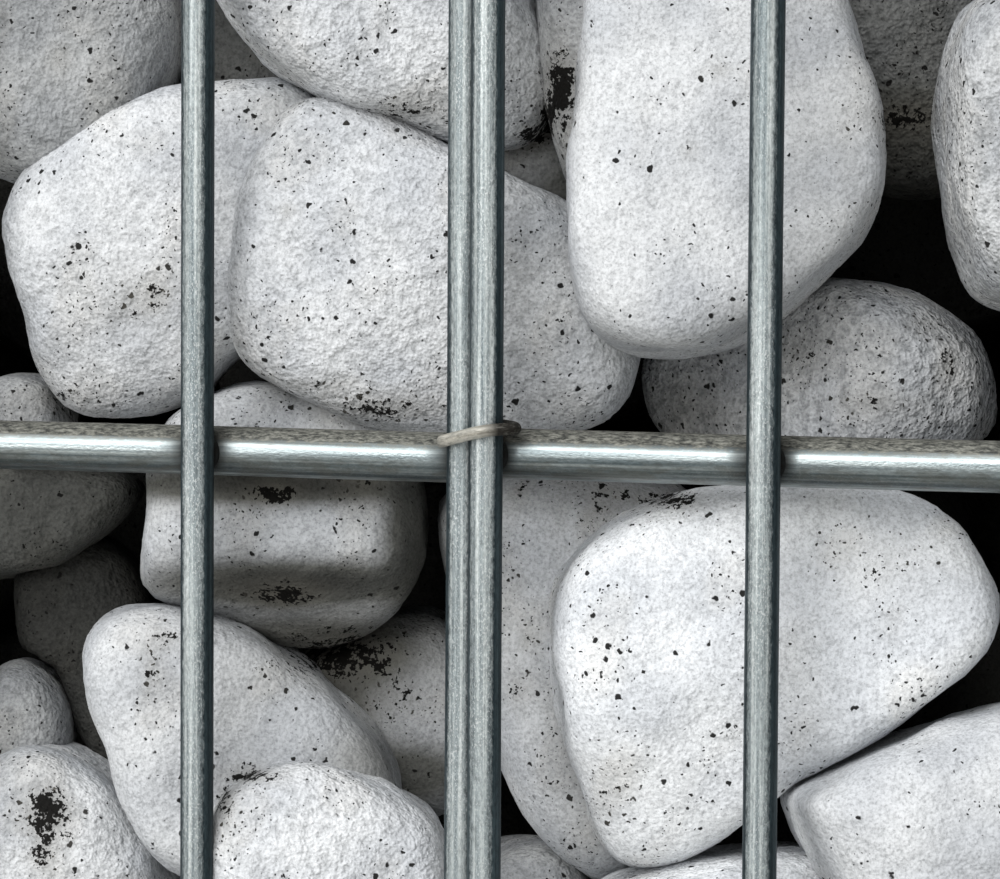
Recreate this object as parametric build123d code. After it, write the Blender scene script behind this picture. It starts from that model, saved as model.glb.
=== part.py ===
from build123d import *
import os
from math import atan2, cos, degrees, hypot, radians, sin, tan

# A gabion wall of three baskets in a row: flat panels of welded wire mesh, edge to edge,
# around one fill of stones. Upright wires lie outside and the thicker level rods inside.
# X runs along the wall, -Y is its front, Z is up, and the origin is under its middle.

# Sizes that can be set, in millimetres
basket_count = 3
basket_length = 800.0     # between the edge wires of one front panel
basket_height = 600.0     # between the lowest and the highest rod
basket_depth = 400.0      # between the edge wires of one end panel
wire_pitch = 50.0         # between upright wires
rod_pitch = 200.0         # between rods
cross_wire_pitch = 100.0  # between the cross wires of a lid or a base
wire_thickness = 6.0
rod_thickness = 9.0
ring_thickness = 2.5      # the wire that the C-rings are bent from
ring_play = 0.2           # between a C-ring and what it ties
panel_play = 0.2          # between panels that meet at an edge
wire_play = 0.5           # between a cross wire's end and the upright wires
lid_inset = 2.0           # how much a lid stands back from the edge of its basket
ring_mouth = 1.2          # between the two ends of a closed C-ring

# Shape of the bars: a wire has six flats and a rod eight, so that flats meet at a weld
wire_sides = 6
rod_sides = 8

# Neighbours touch flat to flat, one edge wire standing a little further out than the other
joint_angle = 180 / wire_sides
wire_corner_radius = wire_thickness / 2 / cos(radians(joint_angle))
joint_spacing = wire_thickness * cos(radians(joint_angle))
joint_step = wire_thickness * sin(radians(joint_angle))
basket_pitch = basket_length + joint_spacing
rod_overhang = joint_spacing - wire_corner_radius - panel_play

# Planes, measured from the middle of a basket, where wires and rods are welded together
edge_shift = wire_thickness + panel_play
front_plane = basket_depth / 2 + edge_shift - wire_thickness / 2
end_plane = basket_length / 2 + edge_shift - wire_thickness / 2
total_height = basket_height + rod_thickness + 2 * wire_thickness
mid_height = total_height / 2

# The stones reach to the inner side of the rods
fill_front = front_plane - rod_thickness
fill_end = end_plane - rod_thickness
fill_bottom = wire_thickness + rod_thickness
fill_top = total_height - fill_bottom


def spread(length, pitch):
    """Places spaced evenly over a length about zero, as near to the pitch as whole cells allow."""
    cells = max(1, round(length / pitch))
    return [length * (i / cells - 0.5) for i in range(cells + 1)]


def upright_bar(x, bottom, top):
    """A wire of the mesh, outside the plane y = 0 and flat against it."""
    section = RegularPolygon(wire_thickness / 2, wire_sides, major_radius=False)
    return Pos(x, -wire_thickness / 2, bottom) * extrude(section, top - bottom)


def level_bar(z, half_length):
    """A rod of the mesh, inside the plane y = 0 and flat against it."""
    turn = 180 / rod_sides
    section = RegularPolygon(rod_thickness / 2, rod_sides, major_radius=False, rotation=turn)
    along_x = Plane(origin=(-half_length, rod_thickness / 2, z), x_dir=(0, 1, 0), z_dir=(1, 0, 0))
    return extrude(along_x * section, 2 * half_length)


def mesh_panel(wire_places, wire_ends, rod_places):
    """A flat mesh, its wires welded across its rods, facing -Y, with the weld plane at y = 0."""
    bottom, top = wire_ends
    half_length = max(wire_places) + rod_overhang
    wires = [upright_bar(x, bottom, top) for x in wire_places]
    rods = [level_bar(z, half_length) for z in rod_places]
    return rods[0].fuse(*rods[1:], *wires)


def tie_ring(first, second, z):
    """A C-ring pressed flat around two upright wires, seen from above at two points."""
    reach = hypot(second[0] - first[0], second[1] - first[1]) / 2
    angle = degrees(atan2(second[1] - first[1], second[0] - first[0]))
    middle_x = (first[0] + second[0]) / 2
    middle_y = (first[1] + second[1]) / 2
    if middle_y * cos(radians(angle)) > 0:
        angle += 180  # the ends of the ring meet on its inner side

    def outline(half_width):
        side = half_width * tan(radians(joint_angle))
        corner = half_width / cos(radians(joint_angle))
        right = [(reach + half_width, side), (reach, corner)]
        left = [(-x, y) for x, y in reversed(right)]
        upper = right + left
        lower = [(-x, -y) for x, y in upper]
        return make_face(Polyline(*upper, *lower, close=True))

    inner_width = wire_corner_radius + ring_play
    flat = outline(inner_width + ring_thickness) - outline(inner_width)
    mouth = Pos(0, inner_width + ring_thickness) * Rectangle(ring_mouth, 2 * inner_width)
    ring = extrude(flat - mouth, ring_thickness / 2, both=True)
    return Pos(middle_x, middle_y, z) * Rot(0, 0, angle) * ring


def save(shape, name):
    export_step(shape, f"parts/{name}.step")


# Where the wires and rods of each panel stand
front_wires = spread(basket_length, wire_pitch)
front_rods = [mid_height + z for z in spread(basket_height, rod_pitch)]
end_wires = spread(basket_depth, wire_pitch)
ways = [1 if z < mid_height else -1 for z in front_rods]  # towards the middle of the height
end_rods = [z + way * rod_thickness for z, way in zip(front_rods, ways)]
lid_wires = spread(basket_length - 2 * lid_inset, cross_wire_pitch)
lid_rods = spread(2 * fill_front - rod_thickness, rod_pitch)
cross_reach = front_plane - wire_play

front_mesh = mesh_panel(front_wires, (0, total_height), front_rods)
end_mesh = mesh_panel(end_wires, (0, total_height), end_rods)
lid_mesh = mesh_panel(lid_wires, (-cross_reach, cross_reach), lid_rods)


def basket_place(i):
    """Where the middle of a basket stands: every second one is a step further forward."""
    x = (i - (basket_count - 1) / 2) * basket_pitch
    y = joint_step / 2 if i % 2 == 0 else -joint_step / 2
    return x, y


def stone_fill(i):
    """The space that the stones of a basket take up, from joint to joint or to the wall's end."""
    left = fill_end if i == 0 else basket_pitch / 2
    right = fill_end if i == basket_count - 1 else basket_pitch / 2
    block = Box(left + right, 2 * fill_front, fill_top - fill_bottom)
    return Pos((right - left) / 2, 0, mid_height) * block


def ring_column(first, second, rods):
    """A ring lies on each rod of the lower half, and under each rod of the upper half."""
    shift = rod_thickness / 2 + ring_play + ring_thickness / 2
    return Compound([tie_ring(first, second, z + way * shift) for z, way in zip(rods, ways)])


os.makedirs("parts", exist_ok=True)

for i in range(basket_count):
    x, y = basket_place(i)
    place = Pos(x, y, 0)
    save(place * Pos(0, -front_plane, 0) * front_mesh, f"front_mesh_{i + 1}")
    save(place * Rot(0, 0, 180) * Pos(0, -front_plane, 0) * front_mesh, f"back_mesh_{i + 1}")
    save(place * Pos(0, 0, wire_thickness) * Rot(90, 0, 0) * lid_mesh, f"base_mesh_{i + 1}")
    lid_place = Pos(0, 0, total_height - wire_thickness)
    save(place * lid_place * Rot(-90, 0, 0) * lid_mesh, f"lid_mesh_{i + 1}")
    save(place * stone_fill(i), f"stone_fill_{i + 1}")

edge_x = basket_length / 2
edge_y = front_plane + wire_thickness / 2
end_edge_x = end_plane + wire_thickness / 2
end_edge_y = basket_depth / 2

# The two end panels close the row, and C-rings tie them to the front and back panels
for name, i, way in (("left", 0, -1), ("right", basket_count - 1, 1)):
    x, y = basket_place(i)
    turned = Rot(0, 0, 90 * way) * Pos(0, -end_plane, 0) * end_mesh
    save(Pos(x, y, 0) * turned, f"end_mesh_{name}")
    for side, sign in (("front", -1), ("back", 1)):
        panel_edge = (x + way * edge_x, y + sign * edge_y)
        end_edge = (x + way * end_edge_x, y + sign * end_edge_y)
        save(ring_column(panel_edge, end_edge, end_rods), f"corner_rings_{side}_{name}")

# C-rings tie the edge wires of neighbouring baskets at every rod, front and back
for i in range(basket_count - 1):
    left_x, left_y = basket_place(i)
    right_x, right_y = basket_place(i + 1)
    for side, sign in (("front", -1), ("back", 1)):
        left_edge = (left_x + edge_x, left_y + sign * edge_y)
        right_edge = (right_x - edge_x, right_y + sign * edge_y)
        save(ring_column(left_edge, right_edge, front_rods), f"joint_rings_{side}_{i + 1}")
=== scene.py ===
import math
import time
import bpy
import numpy as np
from mathutils import Matrix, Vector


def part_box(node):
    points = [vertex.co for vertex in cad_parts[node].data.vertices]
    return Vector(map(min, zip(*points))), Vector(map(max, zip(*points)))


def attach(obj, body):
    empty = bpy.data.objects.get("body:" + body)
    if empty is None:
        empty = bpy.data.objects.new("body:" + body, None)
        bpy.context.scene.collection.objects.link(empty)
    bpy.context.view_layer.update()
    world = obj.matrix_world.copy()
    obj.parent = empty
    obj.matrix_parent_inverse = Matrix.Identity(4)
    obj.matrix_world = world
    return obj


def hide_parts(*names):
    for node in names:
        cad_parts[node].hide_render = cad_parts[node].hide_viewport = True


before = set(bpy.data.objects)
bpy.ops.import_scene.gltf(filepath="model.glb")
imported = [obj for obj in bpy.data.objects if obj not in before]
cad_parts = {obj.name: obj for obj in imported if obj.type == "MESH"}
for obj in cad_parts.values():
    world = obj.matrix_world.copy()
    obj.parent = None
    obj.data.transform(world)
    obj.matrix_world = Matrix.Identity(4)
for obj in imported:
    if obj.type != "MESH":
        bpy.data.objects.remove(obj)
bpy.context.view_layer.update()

startTime = time.time()
mm = 0.001


def report(stage):
    print(f"{time.time() - startTime:6.1f} s  {stage}")


# The mesh that the wall is made of. Places are read from the frame's own nodes
mesh = dict(
    wire=6.0 * mm, rod=9.0 * mm,     # thickness of the upright and cross wires, and of the level rods
    wirePitch=50.0 * mm, crossPitch=100.0 * mm, rodPitch=200.0 * mm, baskets=3,
    endShift=9.0 * mm,       # the end panels' rods lie this much nearer to the wall's mid height
    rodLift=dict(front_mesh_1=-0.45 * mm, front_mesh_2=0.8 * mm),   # as these two panels were welded
)
cornerRadius = mesh["wire"] / 2 / math.cos(math.radians(30))  # of the six-sided wires in the frame


def nodeBox(name):
    low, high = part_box(name)
    return np.array(low), np.array(high)


def spread(low, high, pitch):
    # Even places from low to high, as near to the pitch as whole cells allow
    cells = max(1, round((high - low) / pitch))
    return np.linspace(low, high, cells + 1)


# Where the joint in view is: its two edge wires, the plane of the welds and the height of the rod
leftLow, leftHigh = nodeBox("front_mesh_1")
rightLow, rightHigh = nodeBox("front_mesh_2")
rodHeights = spread(leftLow[2] + mesh["wire"] + mesh["rod"] / 2, leftHigh[2] - mesh["wire"] - mesh["rod"] / 2,
                    mesh["rodPitch"])
joint = dict(
    x=(leftHigh[0] + rightLow[0]) / 2, z=rodHeights[1],
    weld=(leftLow[1] + mesh["wire"] + (rightLow[1] + mesh["wire"])) / 2,
)

# The camera stands a little to the right of the joint and looks slightly down at it
view = dict(
    stand=(206.0 * mm, -907.0 * mm, 52.6 * mm),  # from the joint, the wall's middle and the rod
    yaw=16.03, pitch=3.84, roll=0.41,             # degrees
    focalPixels=4146.0, width=1000, height=879,
)


# The view's own axes: ahead is turned by yaw and pitch, right and up are turned about it by roll
yaw, pitch, roll = (math.radians(view[k]) for k in ("yaw", "pitch", "roll"))
ahead = np.array((-math.sin(yaw) * math.cos(pitch), math.cos(yaw) * math.cos(pitch), -math.sin(pitch)))
level = np.array((math.cos(yaw), math.sin(yaw), 0.0))
upright = np.cross(level, ahead)
right = math.cos(roll) * level + math.sin(roll) * upright
up = math.cos(roll) * upright - math.sin(roll) * level
eye = np.array((joint["x"] + view["stand"][0], view["stand"][1], joint["z"] + view["stand"][2]))


def onView(px, py, depth):
    # The point seen at a pixel of the view, at a depth behind the plane of the welds, and the size of a
    # pixel there
    focal = view["focalPixels"]
    ray = ahead + right * (px - view["width"] / 2) / focal + up * (view["height"] / 2 - py) / focal
    way = (joint["weld"] + depth - eye[1]) / ray[1]
    return eye + ray * way, way / focal


def placed(name, data, axes=None, at=(0.0, 0.0, 0.0)):
    # A new object; a camera or a lamp is also turned to three axes of its own and moved to its place
    obj = bpy.data.objects.new(name, data)
    bpy.context.collection.objects.link(obj)
    if axes:
        turn = np.eye(4)
        turn[:3] = np.column_stack([*axes, at])
        obj.matrix_world = Matrix(turn.tolist())
    return obj


lens = bpy.data.cameras.new("camera")
lens.lens = view["focalPixels"] / view["width"] * lens.sensor_width
lens.clip_start, lens.clip_end = 0.01, 100
bpy.context.scene.camera = placed("camera", lens, (right, up, -ahead), eye)
report("camera")


# Helpers for meshes. A part is vertices, quads, triangles and a row of values for each vertex

def addMesh(name, node, material, verts, faces, values):
    data = bpy.data.meshes.new(name)
    counts = np.concatenate([np.full(len(f), f.shape[1]) for f in faces])
    loops = np.concatenate([f.ravel() for f in faces]).astype(np.int32)
    data.vertices.add(len(verts))
    data.vertices.foreach_set("co", np.ascontiguousarray(verts, np.float32).ravel())
    data.loops.add(len(loops))
    data.loops.foreach_set("vertex_index", loops)
    data.polygons.add(len(counts))
    data.polygons.foreach_set("loop_start", np.concatenate([[0], np.cumsum(counts)[:-1]]).astype(np.int32))
    data.update(calc_edges=True)
    data.validate()
    data.polygons.foreach_set("use_smooth", np.ones(len(data.polygons), bool))
    for key, value in values.items():
        kind, field = ("FLOAT_VECTOR", "vector") if value.ndim == 2 else ("FLOAT", "value")
        layer = data.attributes.new(key, kind, "POINT")
        layer.data.foreach_set(field, np.ascontiguousarray(value, np.float32).ravel())
    data.materials.append(material)
    obj = placed(name, data)
    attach(obj, "root")
    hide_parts(node)
    report(f"{name}: {sum(len(f) * (f.shape[1] - 2) for f in faces)} triangles")


def joined(parts):
    # Several parts put in one, the faces' numbers moved on by the vertices before them
    shifts = np.cumsum([0] + [len(p[0]) for p in parts])
    faces = [np.concatenate([p[k] + shift for p, shift in zip(parts, shifts)]) for k in (1, 2)]
    return np.concatenate([p[0] for p in parts]), faces, np.concatenate([p[3] for p in parts])


def marked(part, value):
    # The same part with one more value beside its own
    return *part[:3], np.column_stack([part[3], np.broadcast_to(value, len(part[3]))])


def repeated(faces, copies, size):
    # The same faces for several bodies of so many vertices each
    return (faces + np.arange(copies)[:, None, None] * size).reshape(-1, faces.shape[1])


def closedGrid(steps, sides):
    # Quads between rings that follow each other, and triangles to a point at both ends, whose vertices
    # come after all rings
    i, j = np.meshgrid(np.arange(steps - 1), np.arange(sides), indexing="ij")
    k = (j + 1) % sides
    quads = np.stack([i * sides + j, i * sides + k, (i + 1) * sides + k, (i + 1) * sides + j], -1)
    j, k, last = j[0], k[0], (steps - 1) * sides
    point = np.full(sides, steps * sides)
    tris = np.concatenate([np.stack([point, k, j], -1), np.stack([point + 1, last + j, last + k], -1)])
    return quads.reshape(-1, 4), tris


def swept(lines, sizes, side, third, sides, along):
    # Circles carried along lines, square to them. All arrays but sizes start with (body, step); along is how
    # far a step lies along its wire. The values are the flow: along the wire and twice across it
    angle = np.linspace(0, 2 * math.pi, sides, endpoint=False)
    cosine, sine = np.cos(angle), np.sin(angle)
    ring = cosine[:, None] * side[:, :, None] + sine[:, None] * third[:, :, None]
    verts = lines[:, :, None] + sizes[:, None, None] * ring
    flow = np.empty(verts.shape)
    flow[..., 0] = along[..., None]
    flow[..., 1], flow[..., 2] = sizes.max() * cosine, sizes.max() * sine
    count = len(lines)
    verts = np.concatenate([verts.reshape(count, -1, 3), lines[:, [0, -1]]], 1)
    flow = np.concatenate([flow.reshape(count, -1, 3), flow[:, [0, -1], 0]], 1)
    quads, tris = (repeated(f, count, verts.shape[1]) for f in closedGrid(lines.shape[1], sides))
    return verts.reshape(-1, 3), quads, tris, flow.reshape(-1, 3)


def lengthOf(v):
    return np.linalg.norm(v, axis=-1)


def unit(v):
    return v / np.linalg.norm(v, axis=-1, keepdims=True)


def waves(points, seed, length, count=7):
    # A smooth random value near -1 to 1: the mean of plane waves of about one length in random directions
    rng = np.random.default_rng(seed)
    turn = unit(rng.normal(size=(count, 3))) * 2 * math.pi / (length * rng.uniform(0.7, 1.4, (count, 1)))
    phase = rng.uniform(0, 2 * math.pi, count)
    total = np.zeros(len(points))
    for k in range(count):
        total += np.sin(points @ turn[k] + phase[k])
    return total / math.sqrt(count) * 0.8


# Bars of the mesh

bars = dict(
    sides=12, rodSides=16, fineSides=36, coarseStep=90 * mm, fineStep=2.2 * mm,
    fineWithin=90 * mm,      # bars and welds this near to the joint in view are made finely
    near=125 * mm,           # over this length to both sides
    wander=0.35 * mm, wanderLevel=0.105 * mm, wanderFine=0.14 * mm, wanderLength=170 * mm,
    bead=(1.5 * mm, 3.2 * mm, 3.6 * mm),     # half sizes of a weld: through the panel, across and along it
    rodPast=1.53 * mm,       # how far a rod reaches past the middle of the edge wires
    # Stains round a weld, dark weld dirt: how far they are shifted along the wall, how far they reach, how
    # sharp they end.
    # The shifted one paints the shadow of the upright on the rod beside it
    weldStainsAndShadow=((-1.3 * mm, 5.0 * mm, 4), (0.0, 4.4 * mm, 8)),
    belowDarkening=0.1, lowReach=30 * mm,          # faint, on all that is below the joint's rod
)
focus = np.array((joint["x"], joint["weld"], joint["z"]))
endShifts = np.where(rodHeights < rodHeights.mean(), 1, -1) * mesh["endShift"]
panelNames = [n for n in sorted(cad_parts) if "_mesh_" in n]


def tubes(paths, radius, sides, seed):
    # Round bars along many nearly straight paths, a little narrower at their ends
    way = unit(paths[:, -1] - paths[:, 0])[:, None]
    side = unit(np.cross(way, np.where(np.abs(way[..., 2:]) > 0.9, (0.0, 1.0, 0.0), (0.0, 0.0, 1.0))))
    first, last, end = paths[:, :1], paths[:, -1:], 0.3 * radius * way
    lines = np.concatenate([first, first + end, paths[:, 1:-1], last - end, last], 1)
    sizes = np.full(lines.shape[1], radius)
    sizes[[0, -1]] = 0.72 * radius
    along = lengthOf(lines - first)
    along += np.random.default_rng(seed).uniform(0, 9, (len(paths), 1))
    return swept(lines, sizes, side, np.cross(way, side), sides, along)


def beads(centres, size, rows, sides, seed):
    # Ellipsoids with the same three half sizes: rings of latitude with one point at each pole
    lat = np.linspace(0, math.pi, rows + 1)[1:-1]
    lon = np.linspace(0, 2 * math.pi, sides, endpoint=False)
    grid = np.stack([np.outer(np.sin(lat), np.cos(lon)), np.outer(np.sin(lat), np.sin(lon)),
                     np.outer(np.cos(lat), np.ones(sides))], -1).reshape(-1, 3)
    shape = np.concatenate([grid, [(0, 0, 1), (0, 0, -1)]])
    verts = (centres[:, None] + shape * size).reshape(-1, 3)
    quads, tris = closedGrid(rows - 1, sides)
    quads = repeated(quads[:, [0, 3, 2, 1]], len(centres), len(shape))
    tris = repeated(tris[:, [0, 2, 1]], len(centres), len(shape))
    return verts, quads, tris, verts + (np.random.default_rng(seed).uniform(0, 1), 0, 0)


def panelBars(name):
    # Ends of every wire and rod of a panel, from its node's box: wires on the outer side, rods on the inner
    low, high = nodeBox(name)
    kind = name.split("_")[0]
    thin = int(np.argmin(high - low))
    outward = {"front": -1, "back": 1, "lid": 1, "base": -1}.get(kind, -1 if name.endswith("left") else 1)
    across = 1 if kind == "end" else 0              # the axis that the wires are spread along
    along = 1 if kind in ("lid", "base") else 2     # the axis that a wire runs along
    weld = (high[thin] if outward > 0 else low[thin]) - outward * mesh["wire"]
    pitch = mesh["crossPitch"] if along == 1 else mesh["wirePitch"]
    wirePlaces = spread(low[across] + cornerRadius, high[across] - cornerRadius, pitch)
    if along == 2:
        rodPlaces = rodHeights + mesh["rodLift"].get(name, 0.0) + (endShifts if kind == "end" else 0.0)
    else:
        frontInner = nodeBox("front_mesh_" + name[-1])[1][1]
        backInner = nodeBox("back_mesh_" + name[-1])[0][1]
        rodPlaces = spread(frontInner + mesh["rod"] / 2, backInner - mesh["rod"] / 2, mesh["rodPitch"])
    wireEnds = np.zeros((len(wirePlaces), 2, 3))
    wireEnds[:, :, thin] = weld + outward * mesh["wire"] / 2
    wireEnds[:, :, across] = wirePlaces[:, None]
    wireEnds[:, :, along] = low[along], high[along]
    rodEnds = np.zeros((len(rodPlaces), 2, 3))
    rodEnds[:, :, thin] = weld - outward * mesh["rod"] / 2
    rodEnds[:, :, along] = rodPlaces[:, None]
    rodEnds[:, :, across] = wirePlaces[0] - bars["rodPast"], wirePlaces[-1] + bars["rodPast"]
    return wireEnds, rodEnds, (thin, across, along), weld


def samples(ends, fine):
    # Places along a bar from 0 to 1: coarse steps, and fine ones near the view if it is a fine bar
    run = ends[1] - ends[0]
    length = np.linalg.norm(run)
    coarse = np.linspace(0, 1, max(2, round(length / bars["coarseStep"]) + 1))
    if not fine:
        return coarse
    middle = (focus - ends[0]) @ run / length ** 2
    half = bars["near"] / length
    near = np.arange(max(0.0, middle - half), min(1.0, middle + half), bars["fineStep"] / length)
    return np.unique(np.concatenate([coarse[(coarse < near[0]) | (coarse > near[-1])], near]))


def bentPath(ends, places, seed, amount):
    # A nearly straight bar: it wanders by a fraction of a millimetre, as drawn wire does, but not at its ends
    path = ends[0] + (ends[1] - ends[0]) * places[:, None]
    hold = amount * np.clip(np.minimum(places, 1 - places) * 14, 0, 1)
    for axis in range(3):
        path[:, axis] += hold * waves(path, seed + axis, bars["wanderLength"], 4)
    return path


def panelMesh(name, seed):
    # Vertices, faces and values of a panel: its wires, its rods and a bead at every weld
    wireEnds, rodEnds, (thin, across, along), weld = panelBars(name)
    wander = bars["wanderLevel"] if thin == 2 else bars["wander"]
    parts = []
    for group, radius, sides, isRod in ((wireEnds, mesh["wire"] / 2, bars["sides"], 0.0),
                                        (rodEnds, mesh["rod"] / 2, bars["rodSides"], 1.0)):
        plain = []
        for k, ends in enumerate(group):
            run = ends[1] - ends[0]
            nearest = ends[0] + run * np.clip((focus - ends[0]) @ run / (run @ run), 0, 1)
            fine = np.linalg.norm(nearest - focus) < bars["fineWithin"]
            amount = bars["wanderFine"] if fine else wander
            path = bentPath(ends, samples(ends, fine), seed + 10 * k, amount)
            if fine:
                parts.append(marked(tubes(path[None], radius, bars["fineSides"], seed + k), isRod))
            else:
                plain.append(path)
        if plain:
            parts.append(marked(tubes(np.array(plain), radius, sides, seed + 500), isRod))
    cx, cz = np.meshgrid(wireEnds[:, 0, across], rodEnds[:, 0, along])
    welds = np.zeros((cx.size, 3))
    welds[:, thin], welds[:, across], welds[:, along] = weld, cx.ravel(), cz.ravel()
    near = lengthOf(welds - focus) < bars["fineWithin"]
    size = np.zeros(3)
    size[[thin, across, along]] = bars["bead"]
    for chosen, rows, around in ((near, 12, 28), (~near, 4, 8)):
        if chosen.any():
            parts.append(marked(beads(welds[chosen], size, rows, around, seed), 0.0))
    verts, faces, flow = joined(parts)
    # Dark stain round the welds near the view; one spot of each is shifted along the wall and paints the
    # upright's shadow on the rod
    stainAndShade = np.zeros(len(verts))
    for spot in welds[near]:
        for shift, reach, sharp in bars["weldStainsAndShadow"]:
            far = lengthOf(verts - spot - (shift, 0.0, 0.0))
            stainAndShade = np.maximum(stainAndShade, np.exp(-(far / reach) ** sharp))
    # All below the joint's rod is faintly darker
    if name.startswith("front"):
        below = np.clip((joint["z"] - verts[:, 2]) / bars["lowReach"], 0, 1)
        stainAndShade = np.maximum(stainAndShade, bars["belowDarkening"] * below)
    # How squarely a point of a wire faces outward, 0 at its sides, 1 on its outer side: shade is painted on
    # the sides by it
    middle = wireEnds[0, 0, thin]
    face = np.clip((verts[:, thin] - middle) / (middle - weld), 0, 1)
    return verts, faces, {"flow": flow[:, :3], "shine": flow[:, 3], "stainAndShade": stainAndShade, "face": face}


# Materials

def linear(hexColour):
    # sRGB hex to the linear colour that a socket takes
    parts = [int(hexColour[i:i + 2], 16) / 255 for i in (1, 3, 5)]
    return tuple(p / 12.92 if p <= 0.04045 else ((p + 0.055) / 1.055) ** 2.4 for p in parts) + (1.0,)


class Shader:
    # A material built node by node. Each call adds one node and gives its output; an input is another
    # node's output, a number or a hex colour

    def __init__(self, name):
        self.material = bpy.data.materials.new(name)
        self.material.use_nodes = True
        self.tree = self.material.node_tree
        self.tree.nodes.clear()

    def add(self, kind, output, inputs, **settings):
        node = self.tree.nodes.new("ShaderNode" + kind)
        for key, value in settings.items():
            setattr(node, key, value)
        for key, value in inputs.items():
            if isinstance(value, bpy.types.NodeSocket):
                self.tree.links.new(value, node.inputs[key])
            else:
                node.inputs[key].default_value = linear(value) if isinstance(value, str) else value
        return node.outputs[output]

    def attribute(self, name, output="Fac"):
        return self.add("Attribute", output, {}, attribute_name=name)

    def noise(self, point, scale, detail, rough, output=0):
        return self.add("TexNoise", output, {
            "Vector": point, "Scale": scale, "Detail": detail, "Roughness": rough})

    def maths(self, operation, a, b):
        return self.add("Math", 0, {0: a, 1: b}, operation=operation)

    def times(self, a, b, plus=0.0):
        return self.add("Math", 0, {0: a, 1: b, 2: plus}, operation="MULTIPLY_ADD")

    def mixed(self, factor, a, b, kind="MIX"):
        return self.add("Mix", 2, {0: factor, 6: a, 7: b}, data_type="RGBA", blend_type=kind)

    def darkened(self, factor, a, b):
        return self.mixed(factor, a, b, "MULTIPLY")

    def graded(self, source, *stops):
        # A ramp between hex colours or greys at places from 0 to 1
        output = self.add("ValToRGB", 0, {0: source})
        elements = output.node.color_ramp.elements
        while len(elements) < len(stops):
            elements.new(0.5)
        for element, (place, colour) in zip(elements, stops):
            element.position = place
            element.color = linear(colour) if isinstance(colour, str) else (colour, colour, colour, 1)
        return output

    def finish(self, **inputs):
        shader = self.add("BsdfPrincipled", 0, {key.replace("_", " "): inputs[key] for key in inputs})
        end = self.tree.nodes.new("ShaderNodeOutputMaterial")
        self.tree.links.new(shader, end.inputs[0])
        return self.material


stoneLook = dict(
    lump=2.1 * mm, grain=0.65 * mm, relief=0.85 * mm,
    # Pits: size of a cell, the widest pit in it as a share of it, how many more or fewer cells have one
    pits=((2.8 * mm, 0.16, -0.08), (1.4 * mm, 0.15, -0.02), (0.8 * mm, 0.2, -0.45)),
    bend=0.9 * mm,                   # how far a pit's outline is bent out of the round
    # low and high are the stone's own greys; then the two dark ends of the tone, one for grime and painted
    # shade, the darkest for painted shade alone
    low="#D8DBDF", high="#EFF1F3", grimeAndShade="#74736D", paintedShade="#4A4945", pitDark="#141312", black="#0D0C0A",
    warm="#CDBFA6", smudge="#8E8A80",
)


def makeStone():
    # Tumbled pale grey stone, matt and sandy: grain of two sizes in colour and relief, small dark pits in
    # loose clusters with a warm tint here and there, and black crusts that thin out into specks.
    # How light, pitted, crusted and rough a place is comes from values on the mesh; its lightness also
    # carries painted shade on deep and shaded places
    s, look = Shader("tumbled_pale_stone"), stoneLook
    point = s.add("TexCoord", "Object", {})
    cloud, tone, cluster, crust, rugged = (
        s.attribute(name) for name in ("cloud", "tone", "cluster", "crust", "rugged"))
    lump = s.noise(point, 1 / look["lump"], 2.0, 0.72)
    grain = s.noise(point, 1 / look["grain"], 2.0, 0.75)
    colour = s.graded(cloud, (0.2, look["low"]), (0.8, look["high"]))
    # The tone darkens a whole stone: dirtier stones at random, and painted shade on stones that lie deep or
    # in shade and in the listed dark patches
    tone = s.graded(tone, (0.0, look["paintedShade"]), (0.12, look["grimeAndShade"]), (0.45, "#E9E9E9"), (0.55, "#FFFFFF"),
                    (1.0, "#F3F5F6"))
    colour = s.darkened(1.0, colour, tone)
    colour = s.darkened(0.8, colour, s.graded(grain, (0.32, "#C2C2C3"), (0.47, "#ECECEC"), (0.6, "#FFFFFF")))
    blotches = s.graded(lump, (0.34, "#BFC0C0"), (0.5, "#F2F2F2"), (0.6, "#FFFFFF"))
    colour = s.darkened(s.times(rugged, 0.4), colour, blotches)
    colour = s.darkened(s.times(s.graded(cluster, (0.6, 0.0), (0.9, 0.22)), lump), colour, look["warm"])

    # Pits: spots around the points of cells drawn by lot, more of them in a cluster, with ragged rims
    many = s.graded(cluster, (0.15, 0.1), (0.85, 1.0))
    bend = s.noise(point, 1 / look["bend"], 0.0, 0.5, 1)
    bent = s.add("VectorMath", 0, {0: bend, 1: (look["bend"],) * 3, 2: point}, operation="MULTIPLY_ADD")
    ragged = s.times(grain, 0.16, -0.08)
    pit = 0.0
    for size, widest, more in look["pits"]:
        far = s.add("TexVoronoi", "Distance", {"Vector": bent, "Scale": 1 / size})
        lot = s.add("SeparateColor", 0, {0: far.node.outputs["Color"]})
        drawn = s.maths("LESS_THAN", lot, s.maths("ADD", many, more))
        width = s.maths("ADD", s.times(lot.node.outputs[1], widest, 0.04), ragged)
        spot = s.add("MapRange", 0, {0: far, 1: width, 2: s.maths("ADD", width, 0.05), 3: 1.0, 4: 0.0})
        pit = s.maths("MAXIMUM", pit, s.times(spot, drawn))
    colour = s.mixed(s.times(pit, 0.975), colour, look["pitDark"])

    # Crusts: a grey smudge, and black where crust, lump and grain together pass a level
    level = s.times(crust, 0.5, s.times(lump, 0.9, s.times(grain, 0.6)))
    specks = s.add("MapRange", 0, {0: level, 1: 1.07, 2: 1.12, 3: 0.0, 4: 0.985})
    colour = s.mixed(s.times(crust, 0.4), colour, look["smudge"])
    colour = s.mixed(specks, colour, look["black"])
    bump = s.add("Bump", 0, {"Strength": 1.0, "Distance": look["relief"], "Height": s.times(lump, rugged)})
    return s.finish(Base_Color=colour, Roughness=0.9, Normal=bump, Specular_IOR_Level=0.1)


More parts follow.
